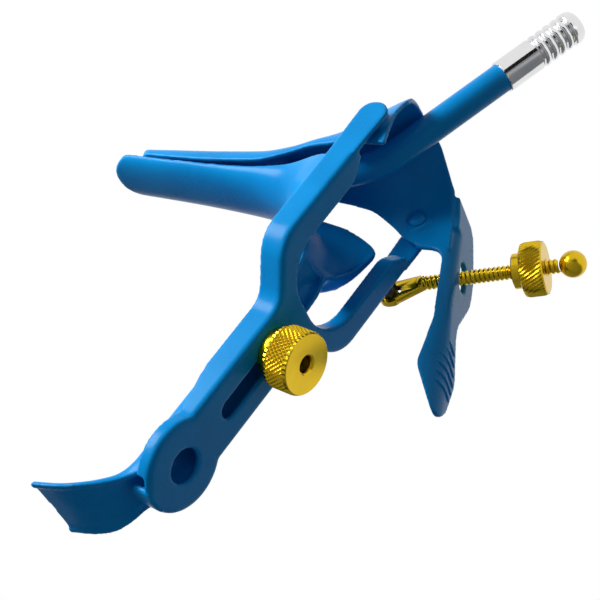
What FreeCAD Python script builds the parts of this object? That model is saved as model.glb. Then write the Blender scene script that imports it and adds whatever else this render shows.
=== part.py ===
import FreeCAD, Part
import math
import os
import Sketcher
from FreeCAD import Placement, Rotation, Vector

# Bivalve examination speculum with a smoke tube, coated in one colour.
# Millimetres. +X is the user's right (the lever side), +Y runs forward to the
# blade tips, +Z is up and the handle hangs down. The origin is on the front of
# the handle, on the axis of the clamp nut.

doc = FreeCAD.newDocument("speculum")

# Driving dimensions: alias, value, what it is
SIZES = [
    ("handle_lean", 14.0, "lean of the handle and yoke from upright, degrees"),
    ("hinge_height", 73.5, "hinge axis above the clamp axis, along the handle"),
    ("hinge_depth", 4.7, "hinge axis in front of the yoke's back face"),
    ("sheet", 1.9, "coated sheet of the yoke and the lever"),
    ("blade_sheet", 1.8, "coated sheet of the blades"),
    ("slide_gap", 0.3, "clearance between the handle and the yoke"),
    ("pin_gap", 0.05, "radial clearance of pins and threads in their bores"),
    ("seat_gap", 0.1, "clearance between flat faces that turn on each other"),
    ("handle_half_width", 8.3, "half width of the handle channel"),
    ("handle_channel", 9.0, "depth of the handle channel"),
    ("handle_length", 50.0, "clamp axis down to the start of the finger lip"),
    ("lip_bend", 70.0, "how far the finger lip bends forward, degrees"),
    ("lip_radius", 18.5, "bend radius of the finger lip"),
    ("lip_tail", 8.5, "straight end of the finger lip"),
    ("lip_half_width", 13.0, "half width of the finger lip"),
    ("lip_edge", 2.8, "depth of the finger lip's edge"),
    ("lower_reach", 104.6, "hinge axis to the lower blade's tip"),
    ("upper_reach", 96.6, "hinge axis to the upper blade's tip"),
    ("blade_half_width", 10.3, "half width of the blades near the tip"),
    ("tip_round", 11.0, "length of the rounded tip"),
    ("mouth_half_width", 23.0, "half width of the lower blade's mouth"),
    ("hood_half_width", 24.6, "half width of the hood at its rim"),
    ("hood_rise", 28.2, "hood crest above the hinge axis"),
    ("shank_half_width", 10.5, "half width of the yoke's shank"),
    ("yoke_flange", 9.0, "depth of the yoke's outer flange"),
    ("yoke_inner_flange", 5.3, "depth of the flange round the gap"),
    ("yoke_half_width", 27.4, "half width over the yoke's arms"),
    ("gap_half_width", 18.4, "half width of the gap between the arms"),
    ("gap_bottom", 16.8, "bottom of the gap above the clamp axis"),
    ("gap_round", 14.5, "corner radius of the gap"),
    ("arm_top", 59.5, "top of the arm webs above the clamp axis"),
    ("ear_radius", 5.0, "radius of the hinge ears"),
    ("slot_half_width", 3.0, "half width of the slot"),
    ("slot_top", 3.2, "upper end of the slot above the clamp axis"),
    ("slot_bottom", 25.2, "lower end of the slot below the clamp axis"),
    ("disc_drop", 43.6, "centre of the finger disc below the clamp axis"),
    ("disc_radius", 14.6, "radius of the finger disc"),
    ("disc_rim", 5.0, "depth of the finger disc's turned rim"),
    ("disc_bore", 5.4, "radius of the hole in the finger disc"),
    ("tongue_half_width", 4.6, "half width of the tongue below the finger disc"),
    ("tongue_depth", 8.2, "how far the tongue reaches into the handle channel"),
    ("coat_round", 1.6, "rounding of the yoke's outer edge"),
    ("stud_radius", 2.5, "radius of the clamp stud's thread"),
    ("stud_shoulder", 3.6, "radius of the stud's shoulder in the channel"),
    ("stud_stop", 3.5, "end of the stud below the nut's face"),
    ("nut_radius", 9.8, "radius of the clamp nut"),
    ("nut_length", 9.4, "knurled length of the clamp nut"),
    ("nut_collar", 7.6, "radius of the clamp nut's collar"),
    ("nut_collar_length", 3.2, "length of the clamp nut's collar"),
    ("nut_edge", 0.5, "chamfer of the nuts"),
    ("rivet_radius", 2.0, "radius of the hinge rivets"),
    ("rivet_head", 3.4, "radius of the hinge rivets' heads inside the hood"),
    ("rivet_dome", 1.3, "height of those heads"),
    ("rivet_sink", 1.1, "depth of the rivets' flush heads in the ears"),
    ("boss_radius", 4.6, "radius of the hood's hinge bosses"),
    ("boss_depth", 3.4, "how far the bosses reach in from the hood's side"),
    ("lever_lean", 12.6, "lean of the thumb lever back from upright, degrees"),
    ("lever_back", 14.0, "lever's back face behind the hinge axis"),
    ("lever_above", 2.5, "height on the lever from which its outline is measured"),
    ("lever_top", 5.0, "top of the lever's web"),
    ("lever_end", 77.0, "lower end of the lever below its measuring height"),
    ("lever_bend", 5.5, "outside radius of the bend between the lever's flange and web"),
    ("thumb_bend", 10.0, "outside radius of the same bend at the thumb rest"),
    ("lever_margin", 11.0, "how far the lever's web reaches past the rod axis"),
    ("lever_neck", 12.1, "width of the lever above the thumb rest"),
    ("lever_thumb", 17.5, "width of the thumb rest"),
    ("lever_flange", 4.2, "depth of the lever's flange"),
    ("thumb_flange", 7.6, "depth of the flange at the thumb rest"),
    ("rod_hole_half_width", 3.3, "half width of the lever's rod hole"),
    ("rod_hole_half_length", 5.6, "half length of the lever's rod hole"),
    ("rod_stand", 6.6, "rod axis outside the yoke's right arm"),
    ("rod_pivot_height", 51.2, "rod pivot above the clamp axis"),
    ("rod_pivot_depth", 4.5, "rod pivot in front of the yoke's back face"),
    ("rod_rise", 15.2, "rise of the rod towards its back end, degrees from level"),
    ("eye_angle", 33.0, "rise of the flattened eye, degrees from level"),
    ("eye_length", 10.2, "rod pivot to the start of the thread"),
    ("eye_radius", 4.2, "radius of the rod's eye"),
    ("eye_plate", 2.2, "thickness of the rod's eye"),
    ("eye_slot", 2.2, "how far the eye's hole runs along the rod"),
    ("rod_radius", 2.4, "radius of the rod's thread"),
    ("rod_length", 49.7, "start of the thread to the middle of the ball"),
    ("ball_radius", 4.35, "radius of the rod's ball end"),
    ("rod_nut_radius", 8.8, "radius of the rod nut"),
    ("rod_nut_length", 7.4, "knurled length of the rod nut"),
    ("rod_nut_collar", 5.7, "radius of the rod nut's collar"),
    ("rod_nut_collar_length", 3.0, "length of the rod nut's collar"),
    ("rod_nut_back", 8.4, "middle of the ball to the rod nut's face"),
    ("pivot_radius", 1.7, "radius of the rod's pivot pin"),
    ("pivot_head", 2.8, "radius of the pivot pin's head"),
    ("pivot_head_length", 1.6, "length of the pivot pin's head"),
    ("tube_radius", 4.85, "outside radius of the smoke tube"),
    ("tube_bore", 3.85, "inside radius of the smoke tube"),
    ("tube_rise", 55.0, "slope of the tube behind the hood, degrees"),
    ("tube_inner_rise", 15.0, "slope of the tube under the upper blade, degrees"),
    ("tube_bend_forward", 8.5, "corner of the tube's bend in front of the hinge"),
    ("tube_bend_up", 2.4, "corner of the tube's bend above the hinge"),
    ("tube_bend_radius", 27.0, "bend radius of the tube"),
    ("tube_inner", 32.0, "bend corner to the tube's inner end"),
    ("tube_outer", 51.2, "bend corner to the start of the nozzle"),
    ("tube_socket", 8.0, "how far the tube enters the nozzle"),
    ("nozzle_sleeve", 5.5, "radius of the nozzle's sleeve"),
    ("nozzle_sleeve_length", 13.8, "length of the nozzle's sleeve"),
    ("nozzle_ridge", 5.5, "radius of the nozzle's ridges"),
    ("nozzle_band", 5.7, "radius of the band at the nozzle's end"),
    ("nozzle_groove", 4.9, "radius between the nozzle's ridges"),
    ("nozzle_pitch", 3.1, "distance from ridge to ridge"),
    ("nozzle_ramp", 0.7, "length of each slope of a ridge"),
    ("nozzle_crest", 1.0, "length of a ridge's top"),
    ("nozzle_nose", 4.5, "radius of the nozzle's end"),
    ("nozzle_band_length", 2.6, "length of the band at the nozzle's end"),
    ("nozzle_nose_length", 2.2, "length of the nozzle's rounded end"),
    ("nozzle_bore", 3.3, "radius of the nozzle's bore"),
]

sheet = doc.addObject("Spreadsheet::Sheet", "Sizes")
for row, (alias, value, note) in enumerate(SIZES, start=1):
    sheet.set("A%d" % row, note)
    sheet.set("B%d" % row, str(value))
    sheet.setAlias("B%d" % row, alias)
doc.recompute()


def size(alias):
    return float(sheet.get(alias))


LEAN = math.radians(size("handle_lean"))
SHEET = size("sheet")
BLADE = size("blade_sheet")
FRONT = size("handle_channel") + size("slide_gap") + SHEET
X_AXIS = Vector(1, 0, 0)
Y_AXIS = Vector(0, 1, 0)
Z_AXIS = Vector(0, 0, 1)
NOZZLE_RIDGES = 4
ACROSS = 12
TRACE = 240
STATION = 2.5


def yoke_place(forward=0.0, height=0.0):
    """Placement leaning with the handle, a step in front of the yoke's back face."""
    lean = Rotation(X_AXIS, math.degrees(LEAN))
    return Placement(lean.multVec(Vector(0, forward - FRONT, height)), lean)


HINGE = yoke_place(size("hinge_depth"), size("hinge_height")).Base
HINGE_PLACE = Placement(HINGE, Rotation())
ROD_SIDE = size("yoke_half_width") + size("rod_stand")


def from_yoke(forward, height):
    """A point given on the handle, as (y, z) from the hinge axis."""
    point = yoke_place(forward, height).Base - HINGE
    return point.y, point.z


def rounded(corners, lift=0.0):
    """Closed wire in the XY plane through (x, y, radius) corners."""
    count = len(corners)
    edges = []
    ends = []
    for i, (x, y, radius) in enumerate(corners):
        here = Vector(x, y, lift)
        before = Vector(corners[i - 1][0], corners[i - 1][1], lift) - here
        after = Vector(corners[(i + 1) % count][0], corners[(i + 1) % count][1], lift) - here
        before.normalize()
        after.normalize()
        half = before.getAngle(after) / 2
        if radius <= 0:
            ends.append((here, here, None))
            continue
        step = radius / math.tan(half)
        middle = (before + after).normalize()
        near = here + middle * (radius / math.sin(half) - radius)
        ends.append((here + before * step, here + after * step, near))
    for i, (start, finish, near) in enumerate(ends):
        if near is not None:
            edges.append(Part.Arc(start, near, finish).toShape())
        following = ends[(i + 1) % count][0]
        if finish.distanceToPoint(following) > 1e-6:
            edges.append(Part.makeLine(finish, following))
    return Part.Wire(edges)


def plate(corners, thickness, holes=()):
    """Flat plate on the XY plane with rounded corners, thick along +Z."""
    face = Part.Face(rounded(corners))
    for hole in holes:
        face = face.cut(hole)
    return face.extrude(Vector(0, 0, thickness))


def upright(shape):
    """Turn a shape drawn in XY so that its y points up and its z forward."""
    turned = shape.copy()
    turned.rotate(Vector(), X_AXIS, 90)
    return turned.mirror(Vector(), Y_AXIS)


def sideways(shape):
    """Turn a shape drawn in XY so that x points forward, y up and z right."""
    turned = shape.copy()
    turned.rotate(Vector(), Vector(1, 1, 1), 120)
    return turned


def across(base, rim, half_width, squareness, low=0.0):
    """Evenly spaced points across a curved sheet, from its back (base) to its rims."""
    back = Vector(0, base[0], base[1])
    depth = Vector(0, rim[0], rim[1]) - back
    wide = half_width - low
    rise = depth.Length - low
    depth.normalize()
    trace = []
    for i in range(TRACE + 1):
        turn = math.pi / 2 * i / TRACE
        side = math.cos(turn)
        down = math.sin(turn)
        reach = ((side / wide) ** squareness + (down / rise) ** squareness) ** (-1 / squareness)
        trace.append((reach * side, rise - reach * down))
    gone = [0.0]
    for one, other in zip(trace, trace[1:]):
        gone.append(gone[-1] + math.dist(one, other))
    half = []
    for i in range(ACROSS):
        reach = gone[-1] * i / ACROSS
        k = max(1, next(k for k, length in enumerate(gone) if length >= reach))
        part = (reach - gone[k - 1]) / (gone[k] - gone[k - 1])
        half.append([a + (b - a) * part for a, b in zip(trace[k - 1], trace[k])])
    middle = [(0.0, 0.0)]
    both = [(-x, z) for x, z in half] + middle + list(reversed(half))
    return [back + Vector(x, 0, 0) + depth * (low + z) for x, z in both]


def slopes(places, values):
    """Slopes for a smooth run through the values that never swings past them."""
    steps = [places[i + 1] - places[i] for i in range(len(places) - 1)]
    grades = [(values[i + 1] - values[i]) / steps[i] for i in range(len(steps))]
    found = [grades[0]]
    for i in range(1, len(grades)):
        if grades[i - 1] * grades[i] <= 0:
            found.append(0.0)
        else:
            found.append(2 * grades[i - 1] * grades[i] / (grades[i - 1] + grades[i]))
    found.append(grades[-1])
    return found


def refine(stations):
    """Closely spaced stations on a smooth run through the given ones."""
    rows = [[base[0], base[1], rim[0], rim[1], half, square] for base, rim, half, square in stations]
    places = [0.0]
    for one, other in zip(rows, rows[1:]):
        places.append(places[-1] + math.dist(one[:2], other[:2]))
    grades = [slopes(places, column) for column in zip(*rows)]
    fine = []
    for i in range(len(rows) - 1):
        span = places[i + 1] - places[i]
        count = max(1, math.ceil(span / STATION))
        for j in range(count):
            u = j / count
            row = []
            for k, grade in enumerate(grades):
                start = rows[i][k]
                finish = rows[i + 1][k]
                row.append(start * (2 * u ** 3 - 3 * u ** 2 + 1) + finish * (3 * u ** 2 - 2 * u ** 3)
                           + span * (grade[i] * (u ** 3 - 2 * u ** 2 + u) + grade[i + 1] * (u ** 3 - u ** 2)))
            fine.append(row)
    fine.append(rows[-1])
    return [((row[0], row[1]), (row[2], row[3]), row[4], row[5]) for row in fine]


def fitted(grid):
    """Smooth surface through a grid of points."""
    surface = Part.BSplineSurface()
    surface.interpolate(grid)
    return surface


def curved_sheet(stations):
    """Solid sheet of even thickness through (base, rim, half width, squareness) stations."""
    fine = refine(stations)
    outside = fitted([across(*place) for place in fine])
    inside = fitted([across(*place, low=BLADE) for place in fine])
    faces = [outside.toShape(), inside.toShape()]
    bounds = [surface.bounds() for surface in (outside, inside)]
    for side in (2, 3):
        rims = [surface.vIso(bound[side]).toShape() for surface, bound in zip((outside, inside), bounds)]
        faces.append(Part.makeRuledSurface(rims[0], rims[1]))
    for end in (0, 1):
        outer = outside.uIso(bounds[0][end]).toShape()
        inner = inside.uIso(bounds[1][end]).toShape()
        first = Part.makeLine(outer.Vertexes[0].Point, inner.Vertexes[0].Point)
        last = Part.makeLine(outer.Vertexes[-1].Point, inner.Vertexes[-1].Point)
        faces.append(Part.Face(Part.Wire(Part.__sortEdges__([outer, last, inner, first]))))
    shell = Part.makeShell(faces)
    shell.sewShape()
    solid = Part.makeSolid(shell)
    if solid.Volume < 0:
        solid.reverse()
    return solid


def blade_tip(reach, round_length, half_width):
    """What is cut from a blade to round its tip in plan."""
    wide = 3 * half_width
    tall = 60
    start = reach - round_length
    block = Part.makeBox(2 * wide, round_length + wide, tall, Vector(-wide, start, -tall / 2))
    major = max(round_length, half_width + 0.4)
    minor = min(round_length, half_width + 0.4)
    along = Y_AXIS if round_length > half_width + 0.4 else X_AXIS
    ellipse = Part.Ellipse(Vector(0, 0, 0), major, minor)
    wire = Part.Wire([ellipse.toShape()])
    wire.rotate(Vector(), Z_AXIS, 90 if along == Y_AXIS else 0)
    wire.translate(Vector(0, start, -tall / 2))
    return block.cut(Part.Face(wire).extrude(Vector(0, 0, tall)))


def feature(name, shape, placement=None):
    """A sub-part whose shape comes from the sheet's sizes."""
    made = doc.addObject("Part::Feature", name)
    made.Label = name
    made.Shape = shape
    if placement is not None:
        made.Placement = placement
    return made


def lower_blade():
    """Lower blade, its mouth, the handle channel and the finger lip: one stamping."""
    reach = size("lower_reach")
    tip = size("blade_half_width")
    mouth = size("mouth_half_width")
    grip = size("handle_half_width")
    top = size("hinge_height")
    deep = SHEET + 1.5 * size("slide_gap")
    free = size("yoke_inner_flange") + size("slide_gap")
    sections = [
        ((reach + 1, -8.6), (reach + 1, -4.8), tip - 0.3, 2.1),
        ((reach * 0.84, -10.3), (reach * 0.84, -6.3), tip, 2.1),
        ((reach * 0.70, -11.9), (reach * 0.70, -7.6), tip + 0.3, 2.1),
        ((reach * 0.56, -13.9), (reach * 0.56, -8.9), tip + 0.8, 2.1),
        ((46.0, -16.0), (45.0, -9.8), tip + 1.7, 2.1),
        ((35.0, -19.2), (32.0, -10.0), tip + 3.3, 2.2),
        ((27.5, -23.2), (22.0, -9.9), mouth - 6.0, 2.2),
        ((22.8, -29.5), (14.0, -11.5), mouth - 2.0, 2.2),
        ((19.9, -36.0), (9.4, -15.5), mouth, 2.2),
        (from_yoke(FRONT, top - 42.5), from_yoke(9.9, top - 25.0), mouth - 1.7, 2.3),
        (from_yoke(FRONT, top - 46.5), from_yoke(9.5, top - 34.0), mouth - 7.7, 2.5),
        (from_yoke(FRONT, top - 50.0), from_yoke(free + 2.6, top - 40.0), grip + 0.4, 2.8),
        (from_yoke(FRONT, top - 53.5), from_yoke(free + 1.0, top - 46.0), grip, 3.2),
        (from_yoke(FRONT, top - 58.0), from_yoke(free + 0.4, top - 54.0), grip, 3.8),
        (from_yoke(FRONT, top - 62.0), from_yoke(4.8, top - 61.0), grip, 4.4),
    ]
    start = top - 67.0
    finish = -size("handle_length")
    for height in (start, start - 1.5, (start + finish) / 2, finish + 1.5, finish):
        sections.append((from_yoke(FRONT, height), from_yoke(deep, height), grip, 5.0))
    sections.extend(lip_sections(grip, deep))
    body = curved_sheet(sections)
    body = body.cut(blade_tip(reach, size("tip_round"), tip))
    bore = Part.makeCylinder(size("stud_radius") + size("pin_gap"), FRONT, Vector(0, -FRONT, 0), Y_AXIS)
    bore.Placement = Placement(Vector(), Rotation(X_AXIS, math.degrees(LEAN)))
    bore.translate(Vector() - HINGE)
    return feature("lower_blade", body.cut(bore), HINGE_PLACE)


def lip_sections(grip, deep):
    """Sections round the bend of the finger lip and along its straight end."""
    wide = size("lip_half_width")
    edge = size("lip_edge")
    bend = math.radians(size("lip_bend"))
    radius = size("lip_radius")
    start = size("handle_length")
    sections = []
    stations = [(0.22, 0.3, 0.0), (0.5, 0.08, 0.5), (0.75, 0.0, 0.9), (1.0, 0.0, 1.0)]
    for share, depth_left, spread in stations:
        turn = bend * share
        forward = FRONT + radius * (1 - math.cos(turn))
        height = -start - radius * math.sin(turn)
        depth = edge + (FRONT - deep - edge) * depth_left
        rim = (forward - depth * math.cos(turn), height - depth * math.sin(turn))
        half = grip + (wide - grip) * spread
        sections.append((from_yoke(forward, height), from_yoke(*rim), half, 4.6 - share))
    forward += size("lip_tail") * math.sin(bend)
    height -= size("lip_tail") * math.cos(bend)
    rim = (forward - edge * math.cos(bend), height - edge * math.sin(bend))
    sections.append((from_yoke(forward, height), from_yoke(*rim), wide, 3.6))
    return sections


def yoke():
    """Slotted shank, finger disc and two arms, one stamping with turned edges."""
    outer = size("yoke_half_width")
    shank = size("shank_half_width")
    gap = size("gap_half_width")
    low = size("gap_bottom")
    top = size("arm_top")
    drop = size("disc_drop")
    disc = size("disc_radius")
    flange = size("yoke_flange")
    above = top + 20
    shoulder = low + 4.0
    neck = low - 7.0
    inside = outer - SHEET
    corners = [
        (outer, above, 0), (outer, shoulder, 12.0), (shank, neck, 8.0), (shank, -drop, 0),
        (-shank, -drop, 0), (-shank, neck, 8.0), (-outer, shoulder, 12.0), (-outer, above, 0),
    ]
    frame = Part.Face(rounded(corners))
    disc_at = Vector(0, -drop, 0)

    def outline(inset, depth):
        face = frame.makeOffset2D(-inset) if inset else frame
        round_disc = Part.makeCylinder(disc - inset, depth, disc_at, Z_AXIS)
        return face.extrude(Vector(0, 0, depth)).fuse(round_disc).removeSplitter()

    gap_face = Part.Face(rounded([
        (-inside, above + 1, 0), (-inside, top + 3.0, 3.0), (-gap, top - 6.0, 6.0),
        (-gap, low, size("gap_round")), (gap, low, size("gap_round")),
        (gap, top - 6.0, 6.0), (inside, top + 3.0, 3.0), (inside, above + 1, 0)]))
    slot = Part.Face(rounded([
        (-size("slot_half_width"), size("slot_top"), size("slot_half_width") - 0.01),
        (-size("slot_half_width"), -size("slot_bottom"), size("slot_half_width") - 0.01),
        (size("slot_half_width"), -size("slot_bottom"), size("slot_half_width") - 0.01),
        (size("slot_half_width"), size("slot_top"), size("slot_half_width") - 0.01)]))
    web = outline(0, SHEET).cut(gap_face.extrude(Vector(0, 0, SHEET)))
    rim = outline(0, flange).cut(outline(SHEET, flange))
    inner = gap_face.makeOffset2D(SHEET).cut(gap_face).extrude(Vector(0, 0, size("yoke_inner_flange")))
    middle = Part.makeBox(2 * shank, 2 * top, flange, Vector(-shank, -top, 0))
    shallow = size("disc_rim")
    lowered = plate([
        (shallow, -drop - 2 * disc, 0), (shallow, -drop + disc * 0.4, 20.0),
        (flange + SHEET, -drop + 2.5 * disc, 0), (flange + SHEET, -drop - 2 * disc, 0)], 4 * outer)
    lowered.rotate(Vector(), Y_AXIS, -90)
    lowered.translate(Vector(2 * outer, 0, 0))
    body = web.fuse([rim.cut(lowered), inner.cut(middle)])
    trim = Part.makeBox(4 * outer, 60, 40, Vector(-2 * outer, top, -20))
    body = body.cut(trim).removeSplitter()
    edges = [edge for edge in body.Edges if is_back_rim(edge, gap_face, top)]
    body = body.makeFillet(size("coat_round"), edges)
    hole = Part.makeCylinder(size("disc_bore"), 40, Vector(0, -drop, -20), Z_AXIS)
    passage = size("handle_half_width") + size("slide_gap")
    way = Part.makeBox(2 * passage, 2 * disc, flange, Vector(-passage, -drop - 2 * disc, SHEET))
    tongue_half = size("tongue_half_width")
    deep = size("tongue_depth")
    tongue = upright(plate([
        (-tongue_half, 0, 0), (tongue_half, 0, 0), (tongue_half, deep, 2.0), (-tongue_half, deep, 2.0)],
        disc))
    tongue.translate(Vector(0, -drop - disc, 0))
    ring = Part.makeCylinder(disc, deep, disc_at, Z_AXIS)
    ring = ring.cut(Part.makeCylinder(disc - SHEET, deep, disc_at, Z_AXIS))
    body = body.cut(way).fuse(ring.common(tongue)).removeSplitter()
    body = body.cut([slot.extrude(Vector(0, 0, SHEET)), hole])
    body = upright(body)
    ears = [yoke_ear(side) for side in (-1, 1)]
    body = body.fuse(ears).removeSplitter()
    across = Vector(-2 * outer, size("hinge_depth"), size("hinge_height"))
    rivets = Part.makeCylinder(size("rivet_radius") + size("pin_gap"), 4 * outer, across, X_AXIS)
    pivot_at = Vector(0, size("rod_pivot_depth"), size("rod_pivot_height"))
    pivot = Part.makeCylinder(size("pivot_radius") + size("pin_gap"), 2 * outer, pivot_at, X_AXIS)
    pivot.translate(Vector(gap + SHEET, 0, 0))
    sinks = [flush_head(side, size("pin_gap")) for side in (-1, 1)]
    for sink in sinks:
        sink.translate(Vector(0, size("hinge_depth"), size("hinge_height")))
    return feature("yoke", body.cut([rivets, pivot] + sinks), yoke_place())


def is_back_rim(edge, gap_face, top):
    """True for the edges of the yoke's back face along its outer outline."""
    if edge.BoundBox.ZMax > 1e-4:
        return False
    middle = edge.valueAt((edge.FirstParameter + edge.LastParameter) / 2)
    on_gap = gap_face.OuterWire.distToShape(Part.Vertex(middle))[0] < 1e-4
    return not on_gap and middle.y < top - 1e-4


def yoke_ear(side):
    """Rounded ear above an arm, in line with its outer flange."""
    forward = size("hinge_depth")
    height = size("hinge_height")
    radius = size("ear_radius")
    top = size("arm_top")
    back = forward - radius
    strip = Part.Face(rounded([
        (0, top - SHEET, 0), (size("yoke_flange"), top - SHEET, 0),
        (forward + radius, height, 0), (back, height, 0), (0, top, 0)]))
    ear = Part.Face(Part.Wire([Part.Circle(Vector(forward, height, 0), Z_AXIS, radius).toShape()]))
    shape = sideways(strip.fuse(ear).removeSplitter().extrude(Vector(0, 0, SHEET)))
    start = size("yoke_half_width") - SHEET if side > 0 else -size("yoke_half_width")
    shape.translate(Vector(start, 0, 0))
    return shape


def lever_section(bend, height):
    """Closed section of the lever's sheet: flange, bend and web, at a height on the lever."""
    left = size("hood_half_width") - BLADE
    forward = 2 * size("lever_back")
    right = 2 * ROD_SIDE
    slope = math.sqrt(0.5)
    edges = []
    walls = []
    for radius, shift in ((bend, 0.0), (bend - SHEET, SHEET)):
        top = Vector(left + shift, forward, height)
        start = Vector(left + shift, bend, height)
        middle = Vector(left + bend - radius * slope, bend - radius * slope, height)
        finish = Vector(left + bend, shift, height)
        last = Vector(right, shift, height)
        walls.append((top, start, middle, finish, last))
    outer, inner = walls
    for one in (outer, inner[::-1]):
        edges.append(Part.makeLine(one[0], one[1]))
        edges.append(Part.Arc(one[1], one[2], one[3]).toShape())
        edges.append(Part.makeLine(one[3], one[4]))
        other = inner[-1] if one is outer else outer[0]
        edges.append(Part.makeLine(one[4], other))
    return Part.Wire(edges)


def lever():
    """Thumb lever: one leaning sheet, bent from flange to web, with the rod's hole."""
    left = size("hood_half_width") - BLADE
    back = size("lever_back")
    top = size("lever_top")
    end = -size("lever_end")
    right = ROD_SIDE + size("lever_margin")
    neck = left + size("lever_neck")
    thumb = left + size("lever_thumb")
    sheets = []
    heights = [(top + 1.0, "lever_bend"), (end + 40.0, "lever_bend"), (end + 21.0, "thumb_bend"),
               (end - 1.0, "thumb_bend")]
    for (high, first), (low, second) in zip(heights, heights[1:]):
        sections = [lever_section(size(first), high), lever_section(size(second), low)]
        sheets.append(Part.makeLoft(sections, True, True))
    bent = sheets[0].fuse(sheets[1:])
    seen_from_behind = upright(plate([
        (left - 1.0, top, 0), (right - 6.5, top, 7.0), (right, -11.0, 9.0), (right, -22.0, 12.0),
        (neck, end + 38.0, 10.0), (thumb, end + 20.0, 9.0), (thumb - 4.5, end + 7.0, 7.0),
        (left + 7.0, end, 5.0), (left - 1.0, end + 7.0, 9.0)], 2 * back))
    flange = size("lever_flange")
    pad = size("thumb_flange")
    seen_from_side = sideways(plate([
        (-1.0, top + 2.0, 0), (SHEET, top + 2.0, 0), (SHEET + 1.0, 1.0, 0), (back, 1.0, 0),
        (back, -12.8, 2.0), (flange, -15.0, 5.5), (flange, end + 35.0, 20.0), (pad, end + 18.0, 9.0),
        (2.0, end + 2.0, 3.0), (2.0, end - 2.0, 0), (-1.0, end - 2.0, 0)], 2 * ROD_SIDE))
    corner = upright(plate([
        (left - 2.6, top, 0), (left + size("lever_bend"), top, 0), (left + size("lever_bend"), -6.0, 0),
        (left, -6.0, 0), (left, -2.0, 0)], SHEET))
    half_wide = size("rod_hole_half_width")
    half_long = size("rod_hole_half_length")
    middle = rod_crossing()
    hole = plate([
        (ROD_SIDE - half_wide, middle + half_long, half_wide - 0.01),
        (ROD_SIDE - half_wide, middle - half_long, half_wide - 0.01),
        (ROD_SIDE + half_wide, middle - half_long, half_wide - 0.01),
        (ROD_SIDE + half_wide, middle + half_long, half_wide - 0.01)], 3 * SHEET)
    hole = upright(hole)
    hole.translate(Vector(0, -SHEET, 0))
    shape = bent.common(seen_from_behind).common(seen_from_side).fuse(corner).cut(hole)
    shape.translate(Vector(0, -back, size("lever_above")))
    shape.rotate(Vector(), X_AXIS, -size("lever_lean"))
    return shape.removeSplitter()


def rod_line():
    """Start of the rod's thread and its direction, from the hinge axis as (y, z)."""
    pivot = from_yoke(size("rod_pivot_depth"), size("rod_pivot_height"))
    eye = math.radians(size("eye_angle"))
    rise = math.radians(size("rod_rise"))
    start = (pivot[0] - size("eye_length") * math.cos(eye), pivot[1] + size("eye_length") * math.sin(eye))
    return pivot, start, (-math.cos(rise), math.sin(rise))


def rod_crossing():
    """Height at which the rod's axis meets the lever's back face, up the lever."""
    lean = math.radians(size("lever_lean"))
    pivot, start, along = rod_line()
    back = (-math.cos(lean), math.sin(lean))
    up = (math.sin(lean), math.cos(lean))
    gone = (size("lever_back") - start[0] * back[0] - start[1] * back[1]) / (
        along[0] * back[0] + along[1] * back[1])
    point = (start[0] + along[0] * gone, start[1] + along[1] * gone)
    return point[0] * up[0] + point[1] * up[1] - size("lever_above")


def upper_blade():
    """Upper blade, its flared hood with hinge bosses, and the thumb lever."""
    reach = size("upper_reach")
    tip = size("blade_half_width") - 0.2
    hood = size("hood_half_width")
    crest = size("hood_rise")
    sections = [
        ((reach + 1, 0.2), (reach + 1, -4.7), tip - 0.4, 2.4),
        ((reach * 0.85, 1.0), (reach * 0.85, -5.7), tip, 2.4),
        ((reach * 0.65, 1.6), (reach * 0.65, -6.6), tip + 0.4, 2.4),
        ((46.0, 2.1), (46.0, -6.4), tip + 1.0, 2.4),
        ((34.0, 3.6), (34.0, -3.8), tip + 2.2, 2.4),
        ((26.0, 6.2), (25.0, -1.6), tip + 3.8, 2.3),
        ((18.0, crest - 17.9), (15.0, -1.9), hood - 8.4, 2.1),
        ((10.6, crest - 12.4), (7.0, -4.6), hood - 4.4, 1.95),
        ((4.4, crest - 6.4), (0.0, -8.4), hood - 0.9, 1.9),
        ((-2.0, crest), (-7.4, -9.4), hood, 1.9),
        ((-6.0, crest + 2.4), (-14.6, -9.4), hood + 0.1, 1.9),
    ]
    body = curved_sheet(sections)
    body = body.cut([blade_tip(reach, size("tip_round"), tip), hood_trim(-1), hood_trim(1)])
    face = size("yoke_half_width") - SHEET - size("slide_gap")
    bosses = []
    for side in (-1, 1):
        start = Vector(side * face, 0, 0)
        bosses.append(Part.makeCylinder(size("boss_radius"), face - boss_inner(), start, X_AXIS * -side))
    body = body.fuse(bosses + [lever()])
    inside = Part.makeCylinder(size("rivet_head") + size("slide_gap"), 2 * boss_inner(),
                      Vector(-boss_inner(), 0, 0), X_AXIS)
    bore = Part.makeCylinder(size("rivet_radius") + size("pin_gap"), 4 * hood,
                             Vector(-2 * hood, 0, 0), X_AXIS)
    return feature("upper_blade", body.cut([inside, bore]).removeSplitter(), HINGE_PLACE)


def hood_trim(side):
    """What is cut off behind the hood's rim, which runs on into the lever on the right."""
    crest = size("hood_rise")
    lean = math.radians(size("lever_lean"))
    back = size("lever_back") - SHEET * 0.5
    if side > 0:
        rim = [(1.2, crest + 0.5, 0), (-3.8, crest - 5.0, 4.0), (-8.6, crest - 14.0, 5.0)]
        for height in (size("lever_top"), -12.8):
            up = height + size("lever_above")
            rim.append((-back * math.cos(lean) + up * math.sin(lean),
                        back * math.sin(lean) + up * math.cos(lean), 0))
        rim.append((-back, -40.0, 0))
    else:
        rim = [(1.2, crest + 0.5, 0), (-3.8, crest - 12.0, 20.0), (-4.2, 7.0, 6.0), (-7.0, -9.5, 0),
               (-7.0, -40.0, 0)]
    beyond = [(-40.0, -40.0, 0), (-40.0, crest + 20.0, 0), (8.0, crest + 20.0, 0)]
    cut = sideways(plate(rim + beyond, 3 * size("hood_half_width")))
    if side < 0:
        cut.translate(Vector(-3 * size("hood_half_width"), 0, 0))
    return cut


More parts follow.
